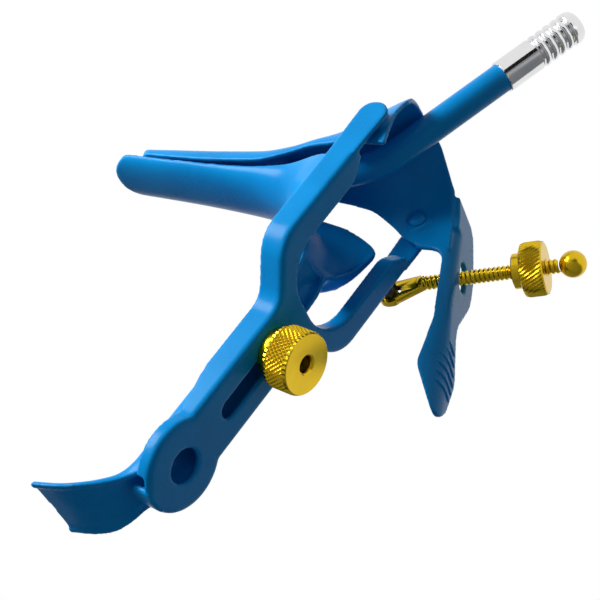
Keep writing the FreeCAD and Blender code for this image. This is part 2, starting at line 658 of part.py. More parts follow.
def boss_inner():
    """Inner face of the hinge bosses, from the middle."""
    return size("hood_half_width") - size("boss_depth")


def flush_head(side, gap):
    """Cone of a rivet's flush head in the ear, or of its seat when given a gap."""
    radius = size("rivet_radius") + gap
    deep = size("rivet_sink")
    start = Vector(side * (size("yoke_half_width") - deep), 0, 0)
    return Part.makeCone(radius, radius + deep, deep, start, X_AXIS * side)


def hinge_rivet(name, side):
    """Rivet with a domed head inside the hood and a flush head sunk into the yoke's ear."""
    head = size("rivet_head")
    dome = size("rivet_dome")
    near = boss_inner() - size("seat_gap")
    ball = (head ** 2 + dome ** 2) / (2 * dome)
    start = Vector(side * (near - dome), 0, 0)
    length = size("yoke_half_width") - near + dome
    shank = Part.makeCylinder(size("rivet_radius"), length, start, X_AXIS * side)
    domed = Part.makeSphere(ball, Vector(side * (near + ball - dome), 0, 0))
    domed = domed.common(Part.makeCylinder(head + 1, dome, start, X_AXIS * side))
    return feature(name, shank.fuse([domed, flush_head(side, 0.0)]).removeSplitter(), HINGE_PLACE)


def turned(name, outline, placement):
    """Body turned about its own Z axis from (radius, height) points bound to the sheet."""
    body = doc.addObject("PartDesign::Body", name)
    body.Label = name
    sketch = body.newObject("Sketcher::SketchObject", name + "_profile")
    plane = [f for f in body.Origin.OriginFeatures if f.Role == "XZ_Plane"][0]
    sketch.AttachmentSupport = (plane, "")
    sketch.MapMode = "FlatFace"
    count = len(outline)
    values = [(sheet_value(radius), sheet_value(height)) for radius, height in outline]
    for i in range(count):
        start = Vector(values[i][0], values[i][1], 0)
        finish = Vector(values[(i + 1) % count][0], values[(i + 1) % count][1], 0)
        sketch.addGeometry(Part.LineSegment(start, finish), False)
    for i in range(count):
        sketch.addConstraint(Sketcher.Constraint("Coincident", i, 2, (i + 1) % count, 1))
    for i, (radius, height) in enumerate(outline):
        bind_point(sketch, i, "X", radius, values[i][0])
        bind_point(sketch, i, "Y", height, values[i][1])
    turn = body.newObject("PartDesign::Revolution", name + "_turn")
    turn.Profile = sketch
    turn.ReferenceAxis = (sketch, ["V_Axis"])
    turn.Angle = 360.0
    body.Placement = placement
    return body


def sheet_value(expression):
    """Number behind a sum of sheet aliases such as 'nut_length + nut_collar_length'."""
    total = 0.0
    for term in expression.replace("- ", "+ -").split("+"):
        word = term.strip()
        sign = -1.0 if word.startswith("-") else 1.0
        word = word.lstrip("-").strip()
        total += sign * (size(word) if word[:1].isalpha() else float(word))
    return total


def bind_point(sketch, index, letter, expression, value):
    """Fix one coordinate of a line's start, and tie it to the sheet."""
    if abs(value) < 1e-9:
        if letter == "X":
            sketch.addConstraint(Sketcher.Constraint("PointOnObject", index, 1, -2))
        else:
            sketch.addConstraint(Sketcher.Constraint("PointOnObject", index, 1, -1))
        return
    kind = "Distance" + letter
    number = sketch.addConstraint(Sketcher.Constraint(kind, -1, 1, index, 1, value))
    words = []
    for word in expression.split():
        words.append("Sizes." + word if word[:1].isalpha() else word)
    sketch.setExpression("Constraints[%d]" % number, " ".join(words))


def clamp_stud():
    """Shouldered stud riveted into the handle, standing back through the yoke's slot."""
    head = 4.4
    web = BLADE
    shoulder = FRONT - SHEET - size("seat_gap") * 2
    tip = FRONT + size("nut_collar_length") + size("nut_length") - size("stud_stop")
    radius = size("stud_radius")
    parts = [
        Part.makeCylinder(head, 1.0, Vector(0, size("seat_gap"), 0), Y_AXIS),
        Part.makeCylinder(radius, tip + size("seat_gap"), Vector(0, size("seat_gap"), 0), Y_AXIS * -1),
        Part.makeCylinder(size("stud_shoulder"), shoulder - web - 2 * size("seat_gap"),
                 Vector(0, -web - size("seat_gap"), 0), Y_AXIS * -1),
    ]
    shape = parts[0].fuse(parts[1:]).removeSplitter()
    return feature("clamp_stud", shape, yoke_place(FRONT, 0))


def back_facing(forward, height):
    """Placement whose Z axis points straight back from the handle."""
    turn = Rotation(X_AXIS, math.degrees(LEAN) + 90)
    return Placement(yoke_place(forward, height).Base, turn)


def clamp_nut():
    """Large round nut with a plain collar against the yoke."""
    return turned("clamp_nut", [
        ("stud_radius + pin_gap", "0"),
        ("nut_collar", "0"),
        ("nut_collar", "nut_collar_length"),
        ("nut_radius - nut_edge", "nut_collar_length"),
        ("nut_radius", "nut_collar_length + nut_edge"),
        ("nut_radius", "nut_collar_length + nut_length - nut_edge"),
        ("nut_radius - nut_edge", "nut_collar_length + nut_length"),
        ("stud_radius + pin_gap", "nut_collar_length + nut_length"),
    ], back_facing(-size("seat_gap"), 0))


def rod_place(gone):
    """Placement on the rod's axis, gone from the start of the thread, Z towards the ball."""
    pivot, start, along = rod_line()
    base = HINGE + Vector(ROD_SIDE, start[0] + along[0] * gone, start[1] + along[1] * gone)
    return Placement(base, Rotation(Z_AXIS, Vector(0, along[0], along[1])))


def adjusting_rod():
    """Threaded rod with a flattened eye bent down to its pivot."""
    pivot, start, along = rod_line()
    radius = size("rod_radius")
    length = size("eye_length")
    plate_half = size("eye_plate") / 2
    eye = size("eye_radius")
    slot = size("pivot_radius") + size("pin_gap")
    outline = Part.Face(Part.Wire([Part.Circle(Vector(), Z_AXIS, eye).toShape()]))
    taper = Part.Face(rounded([
        (0, -eye, 0), (length + 1.0, -radius, 0), (length + 1.0, radius, 0), (0, eye, 0)]))
    far = size("eye_slot")
    hole = Part.Face(rounded([
        (-slot, -slot, slot - 0.005), (far + slot, -slot, slot - 0.005),
        (far + slot, slot, slot - 0.005), (-slot, slot, slot - 0.005)]))
    flat = outline.fuse(taper).removeSplitter().cut(hole).extrude(Vector(0, 0, size("eye_plate")))
    flat.translate(Vector(0, 0, -plate_half))
    flat = sideways(flat)
    flat.rotate(Vector(), X_AXIS, 180 - size("eye_angle"))
    flat.translate(Vector(0, pivot[0] - start[0], pivot[1] - start[1]))
    run = size("rod_length") - size("ball_radius") - size("seat_gap")
    thread = Part.makeCylinder(radius, run + 1.0, Vector(0, -along[0], -along[1]),
                               Vector(0, along[0], along[1]))
    shape = flat.fuse(thread).removeSplitter()
    place = Placement(HINGE + Vector(ROD_SIDE, start[0], start[1]), Rotation())
    return feature("adjusting_rod", shape, place)


def rod_ball():
    """Ball end fixed on the rod behind its nut, so that the nut can't come off."""
    ball = doc.addObject("Part::Sphere", "rod_ball")
    ball.Label = "rod_ball"
    ball.setExpression("Radius", "Sizes.ball_radius")
    ball.Placement = rod_place(size("rod_length"))
    return ball


def rod_nut():
    """Small round nut on the rod, with its collar towards the lever."""
    total = size("rod_nut_length") + size("rod_nut_collar_length")
    return turned("rod_nut", [
        ("rod_radius + pin_gap", "0"),
        ("rod_nut_collar", "0"),
        ("rod_nut_collar", "rod_nut_collar_length"),
        ("rod_nut_radius - nut_edge", "rod_nut_collar_length"),
        ("rod_nut_radius", "rod_nut_collar_length + nut_edge"),
        ("rod_nut_radius", "rod_nut_collar_length + rod_nut_length - nut_edge"),
        ("rod_nut_radius - nut_edge", "rod_nut_collar_length + rod_nut_length"),
        ("rod_radius + pin_gap", "rod_nut_collar_length + rod_nut_length"),
    ], rod_place(size("rod_length") - size("rod_nut_back") - total))


def rod_pivot_pin():
    """Shouldered pin riveted into the right arm's flange, with a head outside the rod's eye."""
    eye = size("eye_plate") / 2 + size("seat_gap")
    side = ROD_SIDE
    outer = size("yoke_half_width")
    radius = size("pivot_radius")
    head = size("pivot_head")
    flange = outer - SHEET
    pieces = [
        Part.makeCylinder(radius, side + eye - flange, Vector(flange, 0, 0), X_AXIS),
        Part.makeCylinder(head, side - eye - outer - size("seat_gap"),
                          Vector(outer + size("seat_gap"), 0, 0), X_AXIS),
        Part.makeCylinder(head, size("pivot_head_length"), Vector(side + eye, 0, 0), X_AXIS),
    ]
    shape = pieces[0].fuse(pieces[1:]).removeSplitter()
    place = yoke_place(size("rod_pivot_depth"), size("rod_pivot_height"))
    return feature("rod_pivot_pin", shape, place)


def tube_lines():
    """Corner of the tube's bend and the unit directions to its two ends."""
    corner = Vector(0, size("tube_bend_forward"), size("tube_bend_up"))
    inner = math.radians(size("tube_inner_rise"))
    outer = math.radians(size("tube_rise"))
    return (corner, Vector(0, math.cos(inner), -math.sin(inner)),
            Vector(0, -math.cos(outer), math.sin(outer)))


def smoke_tube():
    """Bent tube under the hood, open at its inner end and entering the nozzle."""
    corner, inward, outward = tube_lines()
    half = inward.getAngle(outward) / 2
    radius = size("tube_bend_radius")
    step = radius / math.tan(half)
    middle = (inward + outward).normalize()
    near = corner + middle * (radius / math.sin(half) - radius)
    inner_end = corner + inward * size("tube_inner")
    outer_end = corner + outward * (size("tube_outer") + size("tube_socket"))
    path = Part.Wire([
        Part.makeLine(inner_end, corner + inward * step),
        Part.Arc(corner + inward * step, near, corner + outward * step).toShape(),
        Part.makeLine(corner + outward * step, outer_end),
    ])
    shapes = []
    for wall in (size("tube_radius"), size("tube_bore")):
        ring = Part.Wire([Part.Circle(inner_end, inward, wall).toShape()])
        shapes.append(path.makePipeShell([ring], True, False))
    return feature("smoke_tube", shapes[0].cut(shapes[1]), HINGE_PLACE)


def hose_nozzle():
    """Nozzle with round ridges for a hose, its socket over the tube's end."""
    corner, inward, outward = tube_lines()
    outline = [
        ("tube_radius + pin_gap", "0"),
        ("nozzle_sleeve", "0"),
        ("nozzle_sleeve", "nozzle_sleeve_length"),
        ("nozzle_groove", "nozzle_sleeve_length"),
    ]
    base = "nozzle_sleeve_length"
    for _ in range(NOZZLE_RIDGES):
        outline.append(("nozzle_groove", base + " + nozzle_ramp"))
        outline.append(("nozzle_ridge", base + " + nozzle_ramp + nozzle_ramp"))
        outline.append(("nozzle_ridge", base + " + nozzle_ramp + nozzle_ramp + nozzle_crest"))
        base += " + nozzle_pitch"
        outline.append(("nozzle_groove", base))
    outline.append(("nozzle_band", base))
    base += " + nozzle_band_length"
    outline.append(("nozzle_band", base))
    base += " + nozzle_nose_length"
    outline.append(("nozzle_nose", base))
    outline.append(("nozzle_bore", base))
    outline.append(("nozzle_bore", "tube_socket + seat_gap"))
    outline.append(("tube_radius + pin_gap", "tube_socket + seat_gap"))
    place = Placement(HINGE + corner + outward * size("tube_outer"), Rotation(Z_AXIS, outward))
    return turned("hose_nozzle", outline, place)


pieces = [
    lower_blade(),
    clamp_stud(),
    clamp_nut(),
    yoke(),
    hinge_rivet("hinge_rivet_left", -1),
    hinge_rivet("hinge_rivet_right", 1),
    upper_blade(),
    smoke_tube(),
    hose_nozzle(),
    rod_pivot_pin(),
    adjusting_rod(),
    rod_ball(),
    rod_nut(),
]
doc.recompute()

for item in doc.Objects:
    if "Invalid" in item.State or "Error" in item.State:
        raise RuntimeError("%s did not rebuild: %s" % (item.Label, item.State))
for piece in pieces:
    if piece.Shape.isNull() or not piece.Shape.isValid():
        raise RuntimeError("%s has no valid shape" % piece.Label)

os.makedirs("parts", exist_ok=True)
for piece in pieces:
    piece.Shape.exportStep(os.path.join("parts", piece.Label + ".step"))
    box = piece.Shape.BoundBox
    print("%-18s solids %d  volume %9.1f  x %6.1f %6.1f  y %6.1f %6.1f  z %6.1f %6.1f" % (
        piece.Label, len(piece.Shape.Solids), piece.Shape.Volume,
        box.XMin, box.XMax, box.YMin, box.YMax, box.ZMin, box.ZMax))
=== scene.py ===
import math

import bmesh
import bpy
from mathutils import Matrix, Vector
from mathutils.bvhtree import BVHTree


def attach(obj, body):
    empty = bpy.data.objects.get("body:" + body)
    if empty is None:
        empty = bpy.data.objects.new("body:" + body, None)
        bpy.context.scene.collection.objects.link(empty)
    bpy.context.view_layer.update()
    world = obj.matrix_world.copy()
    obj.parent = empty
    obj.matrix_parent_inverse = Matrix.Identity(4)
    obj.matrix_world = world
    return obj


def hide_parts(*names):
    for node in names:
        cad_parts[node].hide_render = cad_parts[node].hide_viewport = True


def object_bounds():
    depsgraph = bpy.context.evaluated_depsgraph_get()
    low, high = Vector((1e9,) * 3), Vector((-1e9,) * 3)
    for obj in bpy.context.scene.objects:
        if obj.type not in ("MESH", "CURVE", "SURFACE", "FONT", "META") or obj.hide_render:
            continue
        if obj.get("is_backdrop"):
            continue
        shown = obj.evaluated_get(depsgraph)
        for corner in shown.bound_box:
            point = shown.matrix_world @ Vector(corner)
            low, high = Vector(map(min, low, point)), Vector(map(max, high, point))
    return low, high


# Bivalve speculum with a smoke tube: glossy blue coat, gilt nuts and rod, bright nozzle.
# Metres in the frame of the solids; MM turns millimetres into metres.
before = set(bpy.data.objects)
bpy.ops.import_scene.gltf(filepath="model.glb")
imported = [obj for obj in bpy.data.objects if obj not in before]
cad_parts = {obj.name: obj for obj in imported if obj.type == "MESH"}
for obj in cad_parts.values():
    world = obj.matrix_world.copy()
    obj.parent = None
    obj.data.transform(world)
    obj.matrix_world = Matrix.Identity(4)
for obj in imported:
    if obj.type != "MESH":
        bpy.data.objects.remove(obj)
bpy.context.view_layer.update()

MM = 0.001
X = Vector((1, 0, 0))
LEAN = math.radians(14)
HINGE = Vector((0, -24.088, 69.744)) * MM
LEAN_TURN = Matrix.Rotation(LEAN, 3, "X")
YOKE_BACK = 11.2


def on_yoke(x, forward, height):
    """A place on the handle: right, forward of the yoke's back face, up from the clamp."""
    return LEAN_TURN @ (Vector((x, forward - YOKE_BACK, height)) * MM)


def new_piece(name, bm, body, slot, material, *nodes, angle=35):
    """Finish a mesh as a piece that rides on a body and may stand for nodes."""
    bmesh.ops.remove_doubles(bm, verts=bm.verts, dist=1e-6)
    bmesh.ops.recalc_face_normals(bm, faces=bm.faces)
    mesh = bpy.data.meshes.new(name)
    bm.to_mesh(mesh)
    bm.free()
    piece = bpy.data.objects.new(name, mesh)
    bpy.context.scene.collection.objects.link(piece)
    mesh.materials.append(material)
    mesh.shade_smooth()
    if angle:
        mesh.set_sharp_from_angle(angle=math.radians(angle))
    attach(piece, body)
    if nodes:
        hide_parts(*nodes)
    return piece


def apply_modifiers(piece):
    """Turn a piece with its modifiers into a plain mesh."""
    depsgraph = bpy.context.evaluated_depsgraph_get()
    finished = bpy.data.meshes.new_from_object(piece.evaluated_get(depsgraph))
    piece.modifiers.clear()
    piece.data = finished


def along(origin, direction, up=X):
    """Matrix that puts a piece drawn about Z at origin, with Z along direction."""
    z = direction.normalized()
    x = (up - z * up.dot(z)).normalized()
    y = z.cross(x)
    turn = Matrix((x, y, z)).transposed().to_4x4()
    return Matrix.Translation(origin) @ turn


def turned(outline, steps=96):
    """Solid turned about Z from (radius, height) points in millimetres."""
    bm = bmesh.new()
    points = [bm.verts.new((radius * MM, 0, height * MM)) for radius, height in outline]
    edges = [bm.edges.new(pair) for pair in zip(points, points[1:] + points[:1])]
    bmesh.ops.spin(bm, geom=points + edges, cent=(0, 0, 0), axis=(0, 0, 1), angle=2 * math.pi,
                   steps=steps, use_merge=True, use_duplicate=False)
    bmesh.ops.remove_doubles(bm, verts=bm.verts, dist=1e-7)
    return bm


# Shared effects

def effect_group(name, inputs, outputs):
    """Empty node group with named sockets, as (name, kind, value) rows."""
    group = bpy.data.node_groups.new(name, "ShaderNodeTree")
    for label, kind, value in inputs:
        socket = group.interface.new_socket(label, in_out="INPUT", socket_type=kind)
        if value is not None:
            socket.default_value = value
    for label, kind in outputs:
        group.interface.new_socket(label, in_out="OUTPUT", socket_type=kind)
    return group, group.nodes.new("NodeGroupInput"), group.nodes.new("NodeGroupOutput")


def make_skin_group():
    """Slow unevenness and fine peel of a dipped or plated skin, from the piece's own place."""
    group, given, out = effect_group(
        "skin_unevenness",
        [("Slow Size", "NodeSocketFloat", 60.0), ("Fine Size", "NodeSocketFloat", 900.0),
         ("Fine Share", "NodeSocketFloat", 0.3)],
        [("Tone", "NodeSocketFloat"), ("Height", "NodeSocketFloat")])
    nodes = group.nodes
    links = group.links
    place = nodes.new("ShaderNodeTexCoord")
    slow = nodes.new("ShaderNodeTexNoise")
    slow.inputs["Detail"].default_value = 2.0
    fine = nodes.new("ShaderNodeTexNoise")
    fine.inputs["Detail"].default_value = 3.0
    blend = nodes.new("ShaderNodeMix")
    blend.data_type = "FLOAT"
    links.new(place.outputs["Object"], slow.inputs["Vector"])
    links.new(place.outputs["Object"], fine.inputs["Vector"])
    links.new(given.outputs["Slow Size"], slow.inputs["Scale"])
    links.new(given.outputs["Fine Size"], fine.inputs["Scale"])
    links.new(given.outputs["Fine Share"], blend.inputs["Factor"])
    links.new(slow.outputs["Fac"], blend.inputs["A"])
    links.new(fine.outputs["Fac"], blend.inputs["B"])
    links.new(slow.outputs["Fac"], out.inputs["Tone"])
    links.new(blend.outputs["Result"], out.inputs["Height"])
    return group


SKIN = make_skin_group()


def finish_material(name, low, high, rough, metallic, bump, slow, fine, fine_share, **sockets):
    """Material whose colour, gloss and surface vary a little over the piece."""
    material = bpy.data.materials.new(name)
    material.use_nodes = True
    nodes = material.node_tree.nodes
    links = material.node_tree.links
    shader = nodes["Principled BSDF"]
    shader.inputs["Metallic"].default_value = metallic
    for label, value in sockets.items():
        shader.inputs[label.replace("_", " ")].default_value = value
    skin = nodes.new("ShaderNodeGroup")
    skin.node_tree = SKIN
    skin.inputs["Slow Size"].default_value = slow
    skin.inputs["Fine Size"].default_value = fine
    skin.inputs["Fine Share"].default_value = fine_share
    tone = nodes.new("ShaderNodeValToRGB")
    tone.color_ramp.elements[0].position = 0.3
    tone.color_ramp.elements[0].color = (*low, 1)
    tone.color_ramp.elements[1].position = 0.7
    tone.color_ramp.elements[1].color = (*high, 1)
    gloss = nodes.new("ShaderNodeMapRange")
    gloss.inputs["To Min"].default_value = rough[0]
    gloss.inputs["To Max"].default_value = rough[1]
    relief = nodes.new("ShaderNodeBump")
    relief.inputs["Strength"].default_value = bump
    relief.inputs["Distance"].default_value = 0.0002
    links.new(skin.outputs["Tone"], tone.inputs["Fac"])
    links.new(tone.outputs["Color"], shader.inputs["Base Color"])
    links.new(skin.outputs["Height"], gloss.inputs["Value"])
    links.new(gloss.outputs["Result"], shader.inputs["Roughness"])
    links.new(skin.outputs["Height"], relief.inputs["Height"])
    links.new(relief.outputs["Normal"], shader.inputs["Normal"])
    return material


BLUE_COAT = finish_material(
    "blue_coat", (0.001, 0.26, 0.66), (0.002, 0.3, 0.74), (0.24, 0.32), 0.0, 0.05, 70, 800, 0.35,
    Specular_IOR_Level=0.1)
GILT = finish_material(
    "gilt", (0.64, 0.42, 0.012), (0.7, 0.47, 0.02), (0.2, 0.3), 1.0, 0.05, 160, 1500, 0.5)
BRIGHT = finish_material(
    "bright_plate", (0.72, 0.72, 0.73), (0.8, 0.8, 0.81), (0.05, 0.12), 1.0, 0.03, 120, 1500, 0.4)
DARK_STEEL = finish_material(
    "dark_steel", (0.04, 0.04, 0.035), (0.09, 0.085, 0.07), (0.25, 0.4), 1.0, 0.1, 300, 1500, 0.5)


# Coated sheet metal

COAT_VOXEL = 0.00042
LEAST_SHEET = 1.7

def fill_out(bm, least):
    """Thicken the sheet, on its front side only, where it is thinner than least."""
    bmesh.ops.remove_doubles(bm, verts=bm.verts, dist=1e-6)
    bmesh.ops.recalc_face_normals(bm, faces=bm.faces)
    tree = BVHTree.FromBMesh(bm)
    skip = 0.02 * MM
    moves = []
    for vert in bm.verts:
        front = [face.normal * face.calc_area() for face in vert.link_faces if face.normal.y > 0.3]
        if not front:
            continue
        away = sum(front, Vector()).normalized()
        place, normal, _, gone = tree.ray_cast(vert.co - away * skip, -away, least)
        if place is not None and normal.dot(away) < -0.5:
            moves.append((vert, away * (least - skip - gone)))
    for vert, move in moves:
        vert.co += move


def coated_sheet(body, rounds, *nodes, least=0.0):
    """Stamped nodes under one thick coat, with every edge and corner rounded by it."""
    bm = bmesh.new()
    for node in nodes:
        bm.from_mesh(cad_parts[node].data)
    if least:
        fill_out(bm, least * MM)
    piece = new_piece(nodes[0] + "_coat", bm, body, "coat", BLUE_COAT, *nodes, angle=0)
    skin = piece.modifiers.new("skin", "REMESH")
    skin.mode = "VOXEL"
    skin.voxel_size = COAT_VOXEL
    skin.use_smooth_shade = True
    flow = piece.modifiers.new("flow", "SMOOTH")
    flow.factor = 0.5
    flow.iterations = rounds
    apply_modifiers(piece)
    return piece


# Thumb ridges on the lever

LEVER_LEAN = math.radians(12.6)
THUMB_FIRST = 47.6
THUMB_PITCH = 3.4
LEVER_LEFT = 22.8
THUMB_BEND = 10.0
THUMB_START = 26.2
THUMB_ENDS = (35.9, 37.0, 38.1, 38.6, 37.9, 36.4)
THUMB_STEPS = 14
THUMB_SLOPE = 2.8


def on_lever(x, forward, height):
    """A place on the lever: right, forward of its web's back face, up from its height mark."""
    turn = Matrix.Rotation(-LEVER_LEAN, 3, "X")
    return HINGE + turn @ (Vector((x, forward - 14.0, 2.5 + height)) * MM)


def bead(bm, points, radius, sides=10):
    """Round bar along points, drawn in to nothing at both ends."""
    rings = []
    last = len(points) - 1
    for i, point in enumerate(points):
        run = (points[min(i + 1, last)] - points[max(i - 1, 0)]).normalized()
        share = min(i, last - i) / 3
        wide = radius * math.sqrt(1 - (1 - min(share, 1)) ** 2) + radius * 0.04
        place = along(point, run, up=Vector((0, 0.3, 1)))
        rings.append([bm.verts.new(place @ Vector((wide * math.cos(turn), wide * math.sin(turn), 0)))
                      for turn in (2 * math.pi * k / sides for k in range(sides))])
    for one, other in zip(rings, rings[1:]):
        for k in range(sides):
            bm.faces.new((one[k], one[(k + 1) % sides], other[(k + 1) % sides], other[k]))
    bm.faces.new(rings[0])
    bm.faces.new(rings[-1])


def thumb_ridges():
    """Low rounded ridges that follow the thumb rest from its bend across to its edge."""
    bm = bmesh.new()
    for i, end in enumerate(THUMB_ENDS):
        height = -THUMB_FIRST - THUMB_PITCH * i
        points = []
        for step in range(THUMB_STEPS + 1):
            x = THUMB_START + (end - THUMB_START) * step / THUMB_STEPS
            gone = max(THUMB_BEND - (x - LEVER_LEFT), 0)
            forward = THUMB_BEND - math.sqrt(THUMB_BEND ** 2 - gone ** 2)
            rise = THUMB_SLOPE / 2 - THUMB_SLOPE * step / THUMB_STEPS
            points.append(on_lever(x, forward + 0.12, height + rise))
        bead(bm, points, 0.6 * MM)
    return new_piece("thumb_ridges", bm, "blade", "coat", BLUE_COAT, angle=0)


# Smoke tube and nozzle

TUBE_CORNER = HINGE + Vector((0, 8.5, 2.4)) * MM
TUBE_IN = Vector((0, math.cos(math.radians(15)), -math.sin(math.radians(15))))
TUBE_OUT = Vector((0, -math.cos(math.radians(55)), math.sin(math.radians(55))))
TUBE_BEND = 27
TUBE_INNER = 32
TUBE_OUTER = 59.2
NOZZLE_START = 51.2


def smoke_tube():
    """Bent tube of even wall, straight, round its bend and straight again."""
    bend = TUBE_BEND * MM
    half = TUBE_IN.angle(TUBE_OUT) / 2
    step = bend / math.tan(half)
    start = TUBE_CORNER + TUBE_IN * TUBE_INNER * MM
    bend_start = TUBE_CORNER + TUBE_IN * step
    centre = TUBE_CORNER + (TUBE_IN + TUBE_OUT).normalized() * (bend / math.sin(half))
    finish = TUBE_CORNER + TUBE_OUT * TUBE_OUTER * MM
    bend_end = TUBE_CORNER + TUBE_OUT * step
    bm = bmesh.new()
    ring = bmesh.ops.create_circle(bm, cap_ends=False, segments=48, radius=4.85 * MM,
                                   matrix=along(start, TUBE_IN))
    edges = list({edge for vert in ring["verts"] for edge in vert.link_edges})
    far = bmesh.ops.extrude_edge_only(bm, edges=edges)["geom"]
    verts = [item for item in far if isinstance(item, bmesh.types.BMVert)]
    bmesh.ops.translate(bm, verts=verts, vec=bend_start - start)
    edges = [item for item in far if isinstance(item, bmesh.types.BMEdge)]
    turn = math.pi - 2 * half
    error = (Matrix.Rotation(turn, 3, "X") @ (bend_start - centre) - (bend_end - centre)).length
    sign = 1 if error < 1e-6 else -1
    last = bmesh.ops.spin(bm, geom=verts + edges, cent=centre, axis=X, angle=sign * turn, steps=20,
                          use_duplicate=False)["geom_last"]
    edges = [item for item in last if isinstance(item, bmesh.types.BMEdge)]
    far = bmesh.ops.extrude_edge_only(bm, edges=edges)["geom"]
    verts = [item for item in far if isinstance(item, bmesh.types.BMVert)]
    bmesh.ops.translate(bm, verts=verts, vec=finish - bend_end)
    tube = new_piece("smoke_tube_skin", bm, "blade", "coat", BLUE_COAT, "smoke_tube")
    wall = tube.modifiers.new("wall", "SOLIDIFY")
    wall.thickness = 1.0 * MM
    wall.offset = -1
    round_edge = tube.modifiers.new("round", "BEVEL")
    round_edge.width = 0.3 * MM
    round_edge.segments = 3
    round_edge.limit_method = "ANGLE"
    round_edge.angle_limit = math.radians(50)
    apply_modifiers(tube)
    return tube


def hose_nozzle():
    """Bright turned nozzle: plain sleeve, four rounded ridges and a tapered end."""
    sleeve = 5.5
    groove = 4.8
    ridge = 5.6
    outline = [(4.9, 0), (5.25, 0.0), (sleeve, 0.25), (sleeve, 13.3), (5.2, 13.7)]
    for i in range(4):
        low = 13.8 + 3.1 * i
        outline += [(groove, low + 0.35), (groove, low + 1.0), (5.45, low + 1.25), (ridge, low + 1.6),
                    (ridge, low + 2.1), (5.45, low + 2.5)]
    outline += [(groove, 26.5), (groove, 26.9), (5.5, 27.05), (5.7, 27.3), (5.7, 28.9), (5.5, 29.8),
                (5.0, 30.7), (4.5, 31.15), (4.1, 31.2), (3.55, 31.0), (3.3, 30.4), (3.3, 8.2), (4.9, 8.2)]
    bm = turned(outline)
    place = along(TUBE_CORNER + TUBE_OUT * NOZZLE_START * MM, TUBE_OUT)
    bmesh.ops.transform(bm, matrix=place, verts=bm.verts)
    return new_piece("hose_nozzle_skin", bm, "blade", "chrome", BRIGHT, "hose_nozzle", angle=28)


# Knurled nuts

def knurled_band(bm, radius, low, high, columns, rows, depth, twist, crossed):
    """Band about Z whose quads rise and fall: crossed ridges with pits, or slanted ridges."""
    made = bmesh.ops.create_cone(bm, cap_ends=False, segments=columns, radius1=radius * MM,
                                 radius2=radius * MM, depth=(high - low) * MM)
    band = set(made["verts"])
    bmesh.ops.translate(bm, verts=list(band), vec=(0, 0, (low + high) / 2 * MM))
    for row in range(1, rows):
        sides = list({face for vert in band for face in vert.link_faces})
        edges = list({edge for face in sides for edge in face.edges})
        at = (0, 0, (low + (high - low) * row / rows) * MM)
        cut = bmesh.ops.bisect_plane(bm, geom=list(band) + edges + sides, plane_co=at, plane_no=(0, 0, 1))
        band.update(item for item in cut["geom_cut"] if isinstance(item, bmesh.types.BMVert))
    raised = []
    for vert in band:
        row = round((vert.co.z / MM - low) / (high - low) * rows)
        column = round(math.atan2(vert.co.y, vert.co.x) / (2 * math.pi) * columns)
        is_low = (column + row) % 2 if crossed else column % 2
        scale = 1 - depth / radius if is_low else 1
        end = row in (0, rows)
        if end:
            scale = 1 - depth / radius * 0.8
        elif not is_low:
            raised.append(vert)
        flat = Vector((vert.co.x, vert.co.y, 0)) * scale
        flat.rotate(Matrix.Rotation(twist * row / rows, 3, "Z"))
        vert.co = Vector((flat.x, flat.y, vert.co.z))
    if crossed:
        bmesh.ops.connect_verts(bm, verts=raised)


def clamp_nut():
    """Large gilt nut: crossed knurl, flat face, and a plain collar against the yoke."""
    bm = turned([(2.55, 0), (7.35, 0), (7.6, 0.25), (7.6, 3.1), (9.0, 3.2), (9.3, 3.5), (9.35, 12.35),
                 (9.3, 12.48), (9.15, 12.6), (3.3, 12.6), (2.75, 12.2), (2.55, 11.7)])
    knurled_band(bm, 9.8, 3.5, 12.35, 84, 10, 0.5, 0.0, True)
    place = along(on_yoke(0, -0.1, 0), LEAN_TURN @ Vector((0, -1, 0)))
    bmesh.ops.transform(bm, matrix=place, verts=bm.verts)
    return new_piece("clamp_nut_knurled", bm, "clamp", "gold", GILT, "clamp_nut", angle=20)


ROD_RISE = math.radians(15.2)
ROD_ALONG = Vector((0, -math.cos(ROD_RISE), math.sin(ROD_RISE)))
ROD_PIVOT = on_yoke(34.0, 4.5, 51.2)
EYE_RISE = math.radians(33.0)
ROD_START = ROD_PIVOT + Vector((0, -math.cos(EYE_RISE), math.sin(EYE_RISE))) * 10.2 * MM
ROD_LENGTH = 49.7


def on_rod(gone):
    """A place on the rod's axis, in millimetres from the end of its eye."""
    return ROD_START + ROD_ALONG * gone * MM


def rod_nut():
    """Small gilt nut with slanted ridges and a collar towards the lever."""
    total = 10.4
    bm = turned([(2.45, 0), (5.45, 0), (5.7, 0.25), (5.7, 2.9), (7.9, 3.0), (8.3, 3.3), (8.35, 10.0),
                 (7.95, 10.4), (3.1, 10.4), (2.7, 10.1), (2.45, 9.7)])
    knurled_band(bm, 8.8, 3.3, 10.05, 84, 6, 0.45, -0.42, False)
    place = along(on_rod(ROD_LENGTH - 8.4 - total), ROD_ALONG)
    bmesh.ops.transform(bm, matrix=place, verts=bm.verts)
    return new_piece("rod_nut_knurled", bm, "nut", "gold", GILT, "rod_nut", angle=20)


# Rod: thread, flattened eye and ball end

THREAD_PITCH = 1.5
THREAD_STEPS = 28
PIN_EDGE = 0.2


def helix(bm, profile, turns):
    """Wind a (radius, height) profile, one pitch tall, about Z."""
    points = [bm.verts.new((radius * MM, 0, height * MM)) for radius, height in profile]
    edges = [bm.edges.new(pair) for pair in zip(points, points[1:])]
    rise = THREAD_PITCH * MM / THREAD_STEPS
    bmesh.ops.spin(bm, geom=points + edges, cent=(0, 0, 0), axis=(0, 0, 1), dvec=(0, 0, rise),
                   angle=2 * math.pi * turns, steps=THREAD_STEPS * turns, use_duplicate=False)


